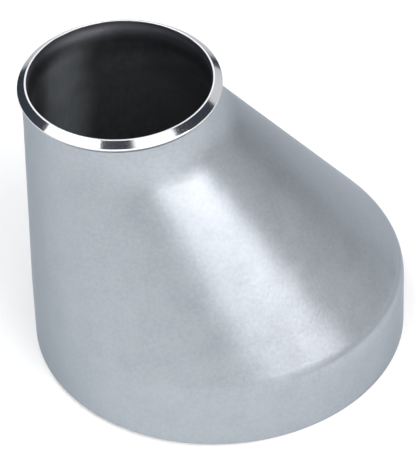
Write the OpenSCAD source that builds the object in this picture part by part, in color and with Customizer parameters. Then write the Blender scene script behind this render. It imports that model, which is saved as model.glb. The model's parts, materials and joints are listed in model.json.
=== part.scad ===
// Eccentric butt-weld pipe reducer, cold formed from one piece of seamless stainless pipe.
// The large end is down, with the centre of its face at the origin. The small end is up, and off centre
// towards -X, so that side is the flat one, and the long slope is on the +X side.

/* [Pipe sizes] */
// Outside diameter at the large end
large_od = 114.3; // [108:0.1:120]
// Outside diameter at the small end
small_od = 60.3; // [54:0.1:70]
// Wall thickness at the large end
large_wall = 3.05; // [2.5:0.05:5]
// Wall thickness at the small end
small_wall = 2.77; // [2.5:0.01:4]
// Length from end face to end face
length = 102; // [90:1:120]

/* [Formed shape] */
// Height at which the straight large end turns into the slope
shoulder_z = 22.5; // [16:0.5:28]
// Half the height over which the shoulder bends
shoulder_soft = 3.2; // [2:0.1:8]
// Depth below the small face of the middle of the bend between the slope and the neck
neck_depth = 11; // [8:0.2:14]
// How far the neck is drawn in from the small end's outside radius
waist = 1.2; // [0.4:0.1:1.6]

/* [Weld ends] */
// Angle of the weld bevel from the plane of the end face
bevel_angle = 37.5; // [30:0.5:40]
// Width of the flat land inside the bevel
land = 0.6; // [0.4:0.1:1.6]
// Height of the straight band that is left under the small end's bevel
band_h = 0.6; // [0.4:0.1:1]
// Height over which the neck flares out to that band
flare_h = 1.4; // [1:0.1:2]
// Depth to which the small end's mouth is bored to the pipe's inside diameter
bore_depth = 1.6; // [1:0.1:2]

/* [Hidden] */

$fn = 180;

steel = [0.70, 0.72, 0.74];

large_r = large_od / 2;
small_r = small_od / 2;
large_bore_r = large_r - large_wall;
small_bore_r = small_r - small_wall;
small_x = small_r - large_r;

// Lengths are kept to this step, so that each slice ends on the circle that the next one starts from.
step = 0.001;

function tidy(v) = round(v / step) * step;

large_bevel_h = tidy((large_wall - land) * tan(bevel_angle));
small_bevel_h = tidy((small_wall - land) * tan(bevel_angle));

// The small end's lip, from the top down: bevel, straight band, flare.
band_z = length - small_bevel_h - band_h;
flare_z = band_z - flare_h;

// The neck's bend reaches up to the lip. The wall is a little thicker there than in the machined mouth.
thickening = 1.05;
neck_r = small_r - waist;
neck_bore_r = tidy(neck_r - small_wall * thickening);
neck_z = length - neck_depth;
neck_soft = flare_z - neck_z;

// Inside, a taper at this angle from the axis leads from the bored mouth down to the neck.
taper_angle = 20;
taper_h = tidy((small_bore_r - neck_bore_r) / tan(taper_angle));
taper_z = length - bore_depth - taper_h;

// The slope's angle from the axis, and how far its bends move down on the inside of the wall.
slope_angle = atan((large_r - small_x - neck_r) / (neck_z - shoulder_z));
inner_drop = (large_wall + small_wall) / 2 * tan(slope_angle / 2);

// The cut through the bore runs past both faces by this much.
past = 2;

// Numbers of slices in the two bends.
shoulder_slices = 6;
neck_slices = 4;

// 0 below a bend, a straight rise above it, and a smooth arc over soft each way.
function bend(u, soft) = u <= -soft ? 0 : u >= soft ? u : pow(u + soft, 2) / (4 * soft);

// A side of the shell, from x_low at the large end to x_neck at the neck, with drop taken off the
// height of its bends.
function side(z, x_low, x_neck, drop) =
    let (
        up = z + drop,
        slope = (x_neck - x_low) / (neck_z - shoulder_z)
    )
    x_low + slope * (bend(up - shoulder_z, shoulder_soft) - bend(up - neck_z, neck_soft));

// Heights at which the shell is cut into slices. The last slice of the neck's bend ends at z_high.
function bend_heights(z, soft, slices) = [for (i = [0:slices - 1]) z - soft + 2 * soft * i / slices];

function heights(z_low, z_high, drop) = concat(
    [z_low],
    bend_heights(shoulder_z - drop, shoulder_soft, shoulder_slices),
    [shoulder_z - drop + shoulder_soft],
    bend_heights(neck_z - drop, neck_soft, neck_slices),
    [z_high]
);

// Rings [height, centre, radius] up the formed wall.
function formed_rings(r_low, r_neck, z_low, z_high, drop) = [
    for (z = heights(z_low, z_high, drop))
        let (
            left = side(z, -r_low, small_x - r_neck, drop),
            right = side(z, r_low, small_x + r_neck, drop)
        )
        [tidy(z), tidy((left + right) / 2), tidy((right - left) / 2)]
];

// A frustum whose two end circles may have different centres along X. Where they do, the matrix stretches
// a cone of height 1 to h and leans its top over by shift.
module leaning_frustum(low, high) {
    h = high[0] - low[0];
    shift = high[1] - low[1];
    translate([low[1], 0, low[0]])
        if (shift == 0)
            cylinder(h = h, r1 = low[2], r2 = high[2]);
        else
            multmatrix([[1, 0, shift, 0], [0, 1, 0, 0], [0, 0, h, 0], [0, 0, 0, 1]])
                cylinder(h = 1, r1 = low[2], r2 = high[2]);
}

// A solid of round slices, with the flat side at -X and the sloping side at +X.
module ringed_solid(rings) {
    for (i = [0:len(rings) - 2])
        leaning_frustum(rings[i], rings[i + 1]);
}

// From the bottom up: large bevel, formed wall, flare, band and small bevel.
module outside() {
    ringed_solid(concat(
        [[0, 0, large_bore_r + land]],
        formed_rings(large_r, neck_r, large_bevel_h, flare_z, 0),
        [
            [band_z, small_x, small_r],
            [length - small_bevel_h, small_x, small_r],
            [length, small_x, small_bore_r + land]
        ]
    ));
}

// From the bottom up: large bore, formed wall, taper and small bore.
module inside() {
    ringed_solid(concat(
        formed_rings(large_bore_r, neck_bore_r, -past, taper_z, inner_drop),
        [
            [taper_z + taper_h, small_x, small_bore_r],
            [length + past, small_x, small_bore_r]
        ]
    ));
}

module reducer_shell() {
    color(steel)
        difference() {
            outside();
            inside();
        }
}

reducer_shell();
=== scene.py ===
import json
import math

import bmesh
import bpy
from mathutils import Matrix, Vector


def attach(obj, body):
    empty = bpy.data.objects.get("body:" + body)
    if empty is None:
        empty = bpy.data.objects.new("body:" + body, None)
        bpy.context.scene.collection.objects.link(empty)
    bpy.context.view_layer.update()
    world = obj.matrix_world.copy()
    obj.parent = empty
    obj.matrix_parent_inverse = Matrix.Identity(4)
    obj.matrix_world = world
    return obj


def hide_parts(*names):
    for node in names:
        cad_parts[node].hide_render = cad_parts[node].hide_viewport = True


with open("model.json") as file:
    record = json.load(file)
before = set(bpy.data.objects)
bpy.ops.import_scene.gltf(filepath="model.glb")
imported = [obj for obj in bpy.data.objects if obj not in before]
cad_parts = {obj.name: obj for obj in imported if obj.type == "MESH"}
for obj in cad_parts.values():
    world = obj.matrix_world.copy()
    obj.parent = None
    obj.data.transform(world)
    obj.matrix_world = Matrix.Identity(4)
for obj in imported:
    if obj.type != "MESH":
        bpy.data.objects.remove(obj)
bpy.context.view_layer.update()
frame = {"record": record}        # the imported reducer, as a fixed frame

MM = 0.001


# ---------------------------------------------------------------- sizes, in metres

MOUNTS = {mount["name"]: mount for mount in frame["record"]["mounts"]}


def mount_radius(name):
    return MOUNTS[name]["dims"]["r_mm"] * MM


LARGE_R = mount_radius("large_end_od")
SMALL_R = mount_radius("small_end_od")
LARGE_BORE_R = mount_radius("large_end_bore")
SMALL_BORE_R = mount_radius("small_end_bore")
SMALL_X = MOUNTS["small_end_bore"]["pos_m"][0]
LENGTH = MOUNTS["small_end_bore"]["pos_m"][2]

SHOULDER_Z = 22.5 * MM
SHOULDER_SOFT = 3.2 * MM
NECK_Z = LENGTH - 11 * MM
WAIST = 1.2 * MM
LAND = 0.6 * MM
BAND_H = 0.6 * MM
FLARE_H = 1.4 * MM
BORE_DEPTH = 1.6 * MM
THICKENING = 1.05
BEVEL_SLOPE = math.tan(math.radians(37.5))
TAPER_SLOPE = math.tan(math.radians(20))

LARGE_WALL = LARGE_R - LARGE_BORE_R
SMALL_WALL = SMALL_R - SMALL_BORE_R
LARGE_BEVEL_H = (LARGE_WALL - LAND) * BEVEL_SLOPE
SMALL_BEVEL_Z = LENGTH - (SMALL_WALL - LAND) * BEVEL_SLOPE
BAND_Z = SMALL_BEVEL_Z - BAND_H
FLARE_Z = BAND_Z - FLARE_H
NECK_SOFT = FLARE_Z - NECK_Z
NECK_R = SMALL_R - WAIST
NECK_BORE_R = NECK_R - SMALL_WALL * THICKENING
MOUTH_Z = LENGTH - BORE_DEPTH
TAPER_Z = MOUTH_Z - (SMALL_BORE_R - NECK_BORE_R) / TAPER_SLOPE
SLOPE_ANGLE = math.atan((LARGE_R - SMALL_X - NECK_R) / (NECK_Z - SHOULDER_Z))
INNER_DROP = (LARGE_WALL + SMALL_WALL) / 2 * math.tan(SLOPE_ANGLE / 2)

# Radii of the rounded corners: the small end's, from the neck over the lip and down the mouth, and then
# the large end's. The edges of both bevels share one.
FLARE_ROUND = 0.8 * MM
EDGE_ROUND = 0.25 * MM
SMALL_LAND_ROUND = 0.10 * MM
SMALL_BORE_ROUND = 0.12 * MM
MOUTH_ROUND = 7 * MM
TAPER_ROUND = 12 * MM
LARGE_LAND_ROUND = 0.12 * MM
LARGE_BORE_ROUND = 0.15 * MM

# The mesh: points in a ring, points round a corner, the flat strip that is held next to a corner, and
# the space left between the formed wall's rings and a machined end's. The wall's rings are packed closer
# over the reach of each bend.
SEGMENTS = 288
CORNER_STEPS = 6
CORNER_HOLD = 0.12 * MM
RING_GAP = 0.2 * MM
SHOULDER_REACH = SHOULDER_SOFT * 1.2
NECK_REACH = NECK_SOFT * 1.1

# Rings up each stretch of the wall: straight end, shoulder, slope and neck.
STRAIGHT_RINGS = 12
SHOULDER_RINGS = 26
SLOPE_RINGS = 32
NECK_RINGS = 30

# The waves that forming leaves in the wall. Each one's share, crests round the wall, twist up the wall
# in radians a metre, and phase.
WAVE_HEIGHT = 0.06 * MM
WAVES = ((0.5, 3, 50, 0.7), (0.3, 5, -90, 2.1), (0.2, 2, 160, 4.0))


# ---------------------------------------------------------------- the wall's shape

def bend(u, soft):
    """0 below a bend, a straight rise above it, and an arc-like blend over soft each way."""
    if u <= -soft:
        return 0.0
    if u >= soft:
        return u
    return (u + soft) ** 2 / (4 * soft)


def side(z, x_low, x_neck, drop):
    """X of the wall in the XZ plane at height z, from x_low at the large end to x_neck at the neck."""
    up = z + drop
    slope = (x_neck - x_low) / (NECK_Z - SHOULDER_Z)
    return x_low + slope * (bend(up - SHOULDER_Z, SHOULDER_SOFT) - bend(up - NECK_Z, NECK_SOFT))


def wall_circle(z, inner):
    """Centre X and radius of the outer or inner wall's circle at height z."""
    low, neck = (LARGE_BORE_R, NECK_BORE_R) if inner else (LARGE_R, NECK_R)
    drop = INNER_DROP if inner else 0.0
    left = side(z, -low, SMALL_X - neck, drop)
    right = side(z, low, SMALL_X + neck, drop)
    return (left + right) / 2, (right - left) / 2


def spread(start, stop, count):
    return [start + (stop - start) * i / count for i in range(count)]


def wall_heights(z_low, z_high, drop):
    """Ring heights up a wall, closest together where it bends."""
    marks = [
        (z_low, STRAIGHT_RINGS),
        (SHOULDER_Z - drop - SHOULDER_REACH, SHOULDER_RINGS),
        (SHOULDER_Z - drop + SHOULDER_REACH, SLOPE_RINGS),
        (NECK_Z - drop - NECK_REACH, NECK_RINGS),
    ]
    heights = []
    for (start, count), (stop, _) in zip(marks, marks[1:] + [(z_high, 0)]):
        heights += spread(start, stop, count)
    return heights + [z_high]


def rounded(before, corner, after, radius):
    """Points (r, z) of a rounded corner, with one more at each end to hold the flats flat."""
    corner, before, after = Vector(corner), Vector(before), Vector(after)
    into, out = (corner - before).normalized(), (after - corner).normalized()
    reach = radius * math.tan(into.angle(out) / 2)
    start, end = corner - into * reach, corner + out * reach
    points = [start - into * CORNER_HOLD]
    for i in range(CORNER_STEPS + 1):
        t = i / CORNER_STEPS
        points.append(start * (1 - t) ** 2 + corner * 2 * t * (1 - t) + end * t ** 2)
    points.append(end + out * CORNER_HOLD)
    return [tuple(p) for p in points]


def turned_end(x, corners):
    """Rings (x, z, r, zone) round the rounded corners of a machined end. A corner is (r, z, radius, zone)."""
    rings = []
    for before, corner, after in zip(corners, corners[1:], corners[2:]):
        for r, z in rounded(before[:2], corner[:2], after[:2], corner[2]):
            rings.append((x, z, r, corner[3]))
    return rings


def small_end():
    """From the neck outwards over the lip, the bevel and the land, and down the bored mouth."""
    return turned_end(SMALL_X, [
        (NECK_R, NECK_Z, 0, "outside"),
        (NECK_R, FLARE_Z, FLARE_ROUND, "outside"),
        (SMALL_R, BAND_Z, EDGE_ROUND, "outside"),
        (SMALL_R, SMALL_BEVEL_Z, EDGE_ROUND, "weld_end"),
        (SMALL_BORE_R + LAND, LENGTH, SMALL_LAND_ROUND, "weld_end"),
        (SMALL_BORE_R, LENGTH, SMALL_BORE_ROUND, "weld_end"),
        (SMALL_BORE_R, MOUTH_Z, MOUTH_ROUND, "inside"),
        (NECK_BORE_R, TAPER_Z, TAPER_ROUND, "inside"),
        (NECK_BORE_R, NECK_Z, 0, "inside"),
    ])


def large_end():
    """From the bore outwards under the land and the bevel."""
    return turned_end(0.0, [
        (LARGE_BORE_R, SHOULDER_Z, 0, "inside"),
        (LARGE_BORE_R, 0.0, LARGE_BORE_ROUND, "weld_end"),
        (LARGE_BORE_R + LAND, 0.0, LARGE_LAND_ROUND, "weld_end"),
        (LARGE_R, LARGE_BEVEL_H, EDGE_ROUND, "outside"),
        (LARGE_R, SHOULDER_Z, 0, "outside"),
    ])


def formed_wall(z_low, z_high, inner):
    """Rings (x, z, r, zone) up the outer or the inner wall."""
    zone, drop = ("inside", INNER_DROP) if inner else ("outside", 0.0)
    rings = []
    for z in wall_heights(z_low, z_high, drop):
        x, r = wall_circle(z, inner)
        rings.append((x, z, r, zone))
    return rings


def section_rings():
    """Rings once round the wall's section: up the outside, over, down the bore, under."""
    top, bottom = small_end(), large_end()
    up = formed_wall(bottom[-1][1] + RING_GAP, top[0][1] - RING_GAP, inner=False)
    down = formed_wall(bottom[0][1] + RING_GAP, top[-1][1] - RING_GAP, inner=True)
    return up + top + down[::-1] + bottom


def forming_wave(angle, z):
    """Height of the very gentle waves that forming leaves in the wall. It is 0 at both machined ends."""
    fade = math.sin(math.pi * min(max(z / LENGTH, 0.0), 1.0)) ** 0.8
    wave = sum(share * math.sin(crests * angle + twist * z + phase) for share, crests, twist, phase in WAVES)
    return WAVE_HEIGHT * fade * wave


def build_shell(materials):
    """The reducer's own mesh: one closed wall with rounded machined edges, and a material for each zone."""
    zones = list(materials)
    mesh = bpy.data.meshes.new("formed_shell")
    bm = bmesh.new()
    rings = section_rings()
    loops = []
    for x, z, r, _ in rings:
        loop = []
        for i in range(SEGMENTS):
            angle = 2 * math.pi * i / SEGMENTS
            reach = r + forming_wave(angle, z)
            loop.append(bm.verts.new((x + reach * math.cos(angle), reach * math.sin(angle), z)))
        loops.append(loop)
    for k, loop in enumerate(loops):
        following = (k + 1) % len(loops)
        above = loops[following]
        zone = max(zones.index(rings[k][3]), zones.index(rings[following][3]))
        for i in range(SEGMENTS):
            j = (i + 1) % SEGMENTS
            face = bm.faces.new((loop[i], loop[j], above[j], above[i]))
            face.smooth = True
            face.material_index = zone
    bmesh.ops.recalc_face_normals(bm, faces=bm.faces)
    bm.to_mesh(mesh)
    bm.free()
    for material in materials.values():
        mesh.materials.append(material)
    piece = bpy.data.objects.new("formed_shell", mesh)
    bpy.context.collection.objects.link(piece)
    return piece


# ---------------------------------------------------------------- materials

class Nodes:
    """Short calls that add nodes to a material and join them."""

    # Sockets of a Mix node that blends colours.
    LOW_COLOUR = 6
    HIGH_COLOUR = 7
    BLENDED_COLOUR = 2

    def __init__(self, name):
        self.material = bpy.data.materials.new(name)
        self.material.use_nodes = True
        self.tree = self.material.node_tree
        self.shader = self.tree.nodes["Principled BSDF"]
        self.place = self.tree.nodes.new("ShaderNodeTexCoord").outputs["Object"]

    def join(self, source, target):
        self.tree.links.new(source, target)

    def put(self, node, socket, value):
        if isinstance(value, bpy.types.NodeSocket):
            self.join(value, node.inputs[socket])
        else:
            node.inputs[socket].default_value = value

    def noise(self, feature, detail=2.0, rough=0.5, place=None):
        """Noise from 0 to 1, with features of the given size in metres."""
        node = self.tree.nodes.new("ShaderNodeTexNoise")
        self.join(place or self.place, node.inputs["Vector"])
        node.inputs["Scale"].default_value = 1 / feature
        node.inputs["Detail"].default_value = detail
        node.inputs["Roughness"].default_value = rough
        return node.outputs["Fac"]

    def math(self, operation, a, b=0.0, c=0.0):
        node = self.tree.nodes.new("ShaderNodeMath")
        node.operation = operation
        for socket, value in enumerate((a, b, c)):
            self.put(node, socket, value)
        return node.outputs[0]

    def total(self, start, *terms):
        """Start plus each value times its weight."""
        for value, weight in terms:
            start = self.math("MULTIPLY_ADD", value, weight, start)
        return start

    def remap(self, value, low, high, to_low=0.0, to_high=1.0):
        """A smooth ramp from to_low, where value is low, to to_high, where value is high."""
        node = self.tree.nodes.new("ShaderNodeMapRange")
        node.interpolation_type = "SMOOTHSTEP"
        for socket, number in enumerate((value, low, high, to_low, to_high)):
            self.put(node, socket, number)
        return node.outputs[0]

    def upright(self, squash):
        """Places squashed in height, which draws noise out into upright streaks."""
        node = self.tree.nodes.new("ShaderNodeMapping")
        self.join(self.place, node.inputs["Vector"])
        node.inputs["Scale"].default_value = (1, 1, squash)
        return node.outputs["Vector"]

    def xyz(self, vector):
        node = self.tree.nodes.new("ShaderNodeSeparateXYZ")
        self.join(vector, node.inputs[0])
        return node.outputs

    def blend(self, amount, low, high):
        node = self.tree.nodes.new("ShaderNodeMix")
        node.data_type = "RGBA"
        self.put(node, "Factor", amount)
        self.put(node, self.LOW_COLOUR, low)
        self.put(node, self.HIGH_COLOUR, high)
        return node.outputs[self.BLENDED_COLOUR]

    def bumps(self, *layers):
        """A bump for each height and its depth, each on top of the one before."""
        normal = None
        for height, depth in layers:
            node = self.tree.nodes.new("ShaderNodeBump")
            node.inputs["Strength"].default_value = 1.0
            node.inputs["Distance"].default_value = depth
            self.join(height, node.inputs["Height"])
            if normal is not None:
                self.join(normal, node.inputs["Normal"])
            normal = node.outputs["Normal"]
        self.join(normal, self.shader.inputs["Normal"])

    def metal(self, colour, roughness, edge_tint=(1, 1, 1, 1)):
        """A metal shader. The edge tint colours what is seen at a grazing angle."""
        self.put(self.shader, "Base Color", colour)
        self.put(self.shader, "Roughness", roughness)
        self.shader.inputs["Metallic"].default_value = 1.0
        self.shader.inputs["Specular Tint"].default_value = edge_tint


PICKLED_DARK, PICKLED_PALE = (0.320, 0.351, 0.380, 1), (0.377, 0.409, 0.437, 1)
PICKLED_EDGE = (0.65, 0.68, 0.72, 1)
# Painted shade along the shoulder's crease: its colour, its height, how far it reaches below and above, and
# the X over which it comes in.
CREASE_SHADE = (0.29, 0.32, 0.355, 1)
CREASE_SHADE_Z = SHOULDER_Z + 1.4 * MM
CREASE_SHADE_LOWER = 1.1 * MM
CREASE_SHADE_UPPER = 1.6 * MM
CREASE_SHADE_START = 2 * MM, 30 * MM


def pickled_outside():
    """Blasted and pickled stainless: satin grey with fine grain, soft mottling and faint drawing marks."""
    n = Nodes("pickled_stainless")
    grain = n.noise(0.35 * MM, 2.0, 0.6)
    pits = n.noise(1.1 * MM, 2.0, 0.5)
    mottle = n.noise(9 * MM, 4.0, 0.55)
    clouds = n.noise(32 * MM, 2.0, 0.5)
    draw = n.noise(0.9 * MM, 2.0, 0.5, n.upright(0.12))

    tone = n.total(0.0, (grain, 0.2), (mottle, 0.4), (pits, 0.4))
    steel = n.blend(n.remap(tone, 0.32, 0.68), PICKLED_DARK, PICKLED_PALE)

    # A faint darker line is painted along the shoulder where it bends: painted shade in the crease. It starts
    # near the middle and is at full strength on the sloping side.
    x, _, z = n.xyz(n.place)
    height = n.total(z, (mottle, 0.6 * MM))
    rise = n.remap(height, CREASE_SHADE_Z - CREASE_SHADE_LOWER, CREASE_SHADE_Z)
    fall = n.remap(height, CREASE_SHADE_Z, CREASE_SHADE_Z + CREASE_SHADE_UPPER, 1, 0)
    line = n.math("MULTIPLY", n.math("MULTIPLY", rise, fall), n.remap(clouds, 0.25, 0.6, 0.4, 1))
    line = n.math("MULTIPLY", line, n.remap(x, *CREASE_SHADE_START))

    roughness = n.total(0.245, (mottle, 0.08), (pits, 0.05), (grain, 0.05), (clouds, 0.06))
    n.metal(n.blend(line, steel, CREASE_SHADE), roughness, PICKLED_EDGE)
    n.bumps((clouds, 0.13 * MM), (mottle, 0.05 * MM), (draw, 0.008 * MM), (pits, 0.028 * MM),
            (grain, 0.007 * MM))
    return n.material


TURNED_DARK, TURNED_PALE = (0.72, 0.73, 0.745, 1), (0.82, 0.825, 0.83, 1)
TURNED_EDGE = (0.55, 0.56, 0.58, 1)
TOOL_FEED = 0.12 * MM


def machined_end():
    """The turned weld bevels and lands: bright steel with fine rings from the cutting tool."""
    n = Nodes("machined_bevel")
    x, y, z = n.xyz(n.place)
    at_top = n.math("GREATER_THAN", z, LENGTH / 2)
    from_axis = n.math("SUBTRACT", x, n.math("MULTIPLY", at_top, SMALL_X))
    radius = n.math("SQRT", n.math("ADD", n.math("MULTIPLY", from_axis, from_axis), n.math("MULTIPLY", y, y)))
    ring_place = n.tree.nodes.new("ShaderNodeCombineXYZ")
    n.join(radius, ring_place.inputs["X"])
    n.join(n.math("MULTIPLY", z, 0.6), ring_place.inputs["Z"])
    rings = n.noise(TOOL_FEED, 3.0, 0.7, ring_place.outputs["Vector"])
    chatter = n.noise(0.8 * MM, 2.0, 0.5)
    smudge = n.noise(6 * MM, 3.0, 0.5)

    roughness = n.total(0.05, (rings, 0.06), (smudge, 0.06))
    n.metal(n.blend(rings, TURNED_DARK, TURNED_PALE), roughness, TURNED_EDGE)
    n.bumps((rings, 0.002 * MM), (chatter, 0.003 * MM))
    return n.material


# The bore's colours: its wall, painted darker than the outside steel as shade inside the part; a pale painted
# sheen; a deeper painted shade on the taper; and the bored mouth, painted darker than turned steel as shade
# inside the opening.
BORE_PAINTED_SHADE = (0.115, 0.12, 0.13, 1), (0.16, 0.165, 0.175, 1)
BORE_PAINTED_SHEEN = (0.58, 0.62, 0.66, 1), (0.72, 0.76, 0.80, 1)
TAPER_PAINTED_SHADE = (0.085, 0.088, 0.098, 1)
BORED_MOUTH = (0.30, 0.31, 0.35, 1)

# Where the painted sheen's sides come in and go out, in X from the bore's axis, and how far they wander.
SHEEN_RISE = -26 * MM, -17 * MM
SHEEN_FALL = -14 * MM, -1 * MM
SHEEN_WANDER = 10 * MM
# Heights over which the painted sheen fades, the painted shade on the taper deepens and the bored mouth
# begins.
SHEEN_FADE = LENGTH - 10 * MM, LENGTH - 4 * MM
TAPER_SHADE_DEEPENS = LENGTH - 9 * MM, LENGTH - 4.5 * MM
MOUTH_BEGINS = LENGTH - 3.2 * MM, LENGTH - 1.2 * MM


def dark_inside():
    """The bore: the same steel, left rougher by forming and painted darker as shade inside the part, with a
    paler painted sheen at the back left.
    """
    n = Nodes("pickled_bore")
    grain = n.noise(0.5 * MM, 2.0, 0.6)
    mottle = n.noise(7 * MM, 4.0, 0.6)
    clouds = n.noise(26 * MM, 2.0, 0.5)
    draw = n.noise(1.2 * MM, 2.0, 0.5, n.upright(0.08))
    tone = n.remap(n.total(0.0, (mottle, 0.6), (draw, 0.4)), 0.3, 0.7)
    dark = n.blend(tone, *BORE_PAINTED_SHADE)
    pale = n.blend(tone, *BORE_PAINTED_SHEEN)

    # A painted sheen, a pale stretch, runs down the bore. Its sides wander, and it fades out towards the
    # mouth.
    x, _, z = n.xyz(n.place)
    across = n.total(n.math("SUBTRACT", x, SMALL_X + SHEEN_WANDER / 2), (clouds, SHEEN_WANDER))
    rise = n.remap(across, *SHEEN_RISE)
    fall = n.remap(across, *SHEEN_FALL, 1, 0)
    depth = n.remap(z, *SHEEN_FADE, 1, 0.03)
    patch = n.math("MULTIPLY", n.math("MULTIPLY", rise, fall), depth)

    # Painted shade darkens the taper. The bored mouth above it is cut clean, and painted darker than turned
    # steel as shade inside the opening.
    taper_shaded = n.blend(n.remap(z, *TAPER_SHADE_DEEPENS), dark, TAPER_PAINTED_SHADE)
    formed = n.blend(patch, taper_shaded, pale)
    bored = n.remap(z, *MOUTH_BEGINS)

    n.metal(n.blend(bored, formed, BORED_MOUTH), n.total(0.34, (mottle, 0.15)))
    n.bumps((mottle, 0.10 * MM), (draw, 0.02 * MM), (grain, 0.012 * MM))
    return n.material


FLOOR_COLOUR = (0.96, 0.96, 0.96, 1)


def floor_material():
    """A matt, nearly white floor."""
    n = Nodes("pale_floor")
    n.shader.inputs["Base Color"].default_value = FLOOR_COLOUR
    n.shader.inputs["Roughness"].default_value = 0.9
    n.shader.inputs["Specular IOR Level"].default_value = 0.1
    return n.material


# ---------------------------------------------------------------- the stage

CENTRE = Vector((0.0, 0.0, LENGTH / 2))

FLOOR_RADIUS = 1.3
FLOOR_SEGMENTS = 96
FLOOR_CLEARANCE = 0.05 * MM

# What lights the part from all round is nearly dark. The camera sees a white backdrop instead.
ROOM_COLOUR, ROOM_STRENGTH = (0.70, 0.84, 1.08, 1), 0.06
BACKDROP_COLOUR, BACKDROP_STRENGTH = (1, 1, 1, 1), 1.0

SOFTBOX_DISTANCE = 1.2
WHITE = (1, 1, 1)
KEY_COLOUR = (1.0, 0.965, 0.965)

# Where the camera stands, in degrees and metres: azimuth 0 looks along +Y. Its lens and sensor are in
# millimetres.
CAMERA_AZIMUTH = -10.76
CAMERA_ELEVATION = 41.59
CAMERA_ROLL = -2.4
CAMERA_DISTANCE = 1.1157
CAMERA_LENS = 286.4
CAMERA_SENSOR = 36
CAMERA_CLIP = 0.05, 20
# How far the middle of the picture is to the left of the part's centre, and below it.
CAMERA_LEFT = 2.09 * MM
CAMERA_BELOW = 11.06 * MM


def direction(azimuth, elevation):
    """Unit vector towards a compass direction: azimuth 0 is +X and 90 is +Y, in degrees."""
    a, e = math.radians(azimuth), math.radians(elevation)
    return Vector((math.cos(a) * math.cos(e), math.sin(a) * math.cos(e), math.sin(e)))


def softbox(name, azimuth, elevation, width, height, radiance, colour=WHITE):
    """A rectangular studio light that faces the part, the same distance away as all the others."""
    light = bpy.data.lights.new(name, "AREA")
    light.shape = "RECTANGLE"
    light.size = width
    light.size_y = height
    light.energy = radiance * width * height * math.pi
    light.color = colour
    lamp = bpy.data.objects.new(name, light)
    outwards = direction(azimuth, elevation)
    lamp.location = CENTRE + outwards * SOFTBOX_DISTANCE
    lamp.rotation_euler = outwards.to_track_quat("Z", "Y").to_euler()
    bpy.context.collection.objects.link(lamp)


def make_floor():
    mesh = bpy.data.meshes.new("floor")
    bm = bmesh.new()
    bmesh.ops.create_circle(bm, cap_ends=True, segments=FLOOR_SEGMENTS, radius=FLOOR_RADIUS)
    bm.to_mesh(mesh)
    bm.free()
    mesh.materials.append(floor_material())
    floor = bpy.data.objects.new("floor", mesh)
    floor.location.z = -FLOOR_CLEARANCE
    bpy.context.collection.objects.link(floor)


def make_world():
    """A dark studio round the part. The camera sees it as a pale backdrop."""
    world = bpy.data.worlds.new("studio")
    bpy.context.scene.world = world
    world.use_nodes = True
    tree = world.node_tree
    room = tree.nodes["Background"]
    room.inputs["Color"].default_value = ROOM_COLOUR
    room.inputs["Strength"].default_value = ROOM_STRENGTH
    backdrop = tree.nodes.new("ShaderNodeBackground")
    backdrop.inputs["Color"].default_value = BACKDROP_COLOUR
    backdrop.inputs["Strength"].default_value = BACKDROP_STRENGTH
    path = tree.nodes.new("ShaderNodeLightPath")
    mix = tree.nodes.new("ShaderNodeMixShader")
    amount, first, second = mix.inputs
    tree.links.new(path.outputs["Is Camera Ray"], amount)
    tree.links.new(room.outputs["Background"], first)
    tree.links.new(backdrop.outputs["Background"], second)
    tree.links.new(mix.outputs["Shader"], tree.nodes["World Output"].inputs["Surface"])


def make_lights():
    """Softboxes round the part, the two brightest in front of it and to the right of the camera."""
    softbox("overhead", 0, 90, 0.70, 0.70, 2.4)
    softbox("key_left", -73, 27, 0.45, 0.90, 4.5, KEY_COLOUR)
    softbox("key_right", -44, 29, 0.65, 0.85, 4.7, KEY_COLOUR)
    softbox("key_high", -53, 61, 0.60, 0.45, 1.4)
    softbox("key_fade", -94, 10, 0.25, 0.25, 1.2)
    softbox("front_low", -120, 15, 0.85, 0.55, 0.7)
    softbox("front_mid", -112, 43, 0.90, 0.55, 2.8)
    softbox("left_high", 188, 52, 0.75, 0.60, 3.3)
    softbox("back_left_high", 133, 58, 0.50, 0.60, 3.0)
    softbox("back_high", 79, 42, 0.55, 0.35, 1.2)
    softbox("back_right_low", 37, 18, 0.90, 0.55, 0.7)
    softbox("right_low", -2, 13, 0.75, 0.55, 0.8)


def make_camera():
    """The product view: above and in front, a little to the flat side, with a long lens."""
    azimuth, elevation, roll = map(math.radians, (CAMERA_AZIMUTH, CAMERA_ELEVATION, CAMERA_ROLL))
    back = Vector((math.sin(azimuth) * math.cos(elevation),
                   -math.cos(azimuth) * math.cos(elevation), math.sin(elevation)))
    level = Vector((math.cos(azimuth), math.sin(azimuth), 0))
    upright = back.cross(level)
    right = math.cos(roll) * level + math.sin(roll) * upright
    up = -math.sin(roll) * level + math.cos(roll) * upright
    data = bpy.data.cameras.new("camera")
    data.lens = CAMERA_LENS
    data.sensor_width = CAMERA_SENSOR
    data.clip_start, data.clip_end = CAMERA_CLIP
    camera = bpy.data.objects.new("camera", data)
    camera.matrix_world = Matrix((right, up, back)).transposed().to_4x4()
    camera.location = CENTRE + back * CAMERA_DISTANCE - right * CAMERA_LEFT - up * CAMERA_BELOW
    bpy.context.collection.objects.link(camera)
    bpy.context.scene.camera = camera


# ---------------------------------------------------------------- the scene

shell = build_shell({"outside": pickled_outside(), "weld_end": machined_end(), "inside": dark_inside()})
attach(shell, "root")
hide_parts("reducer_shell")

make_floor()
make_world()
make_lights()
make_camera()

view = bpy.context.scene.view_settings
view.view_transform = "Standard"
view.look = "None"
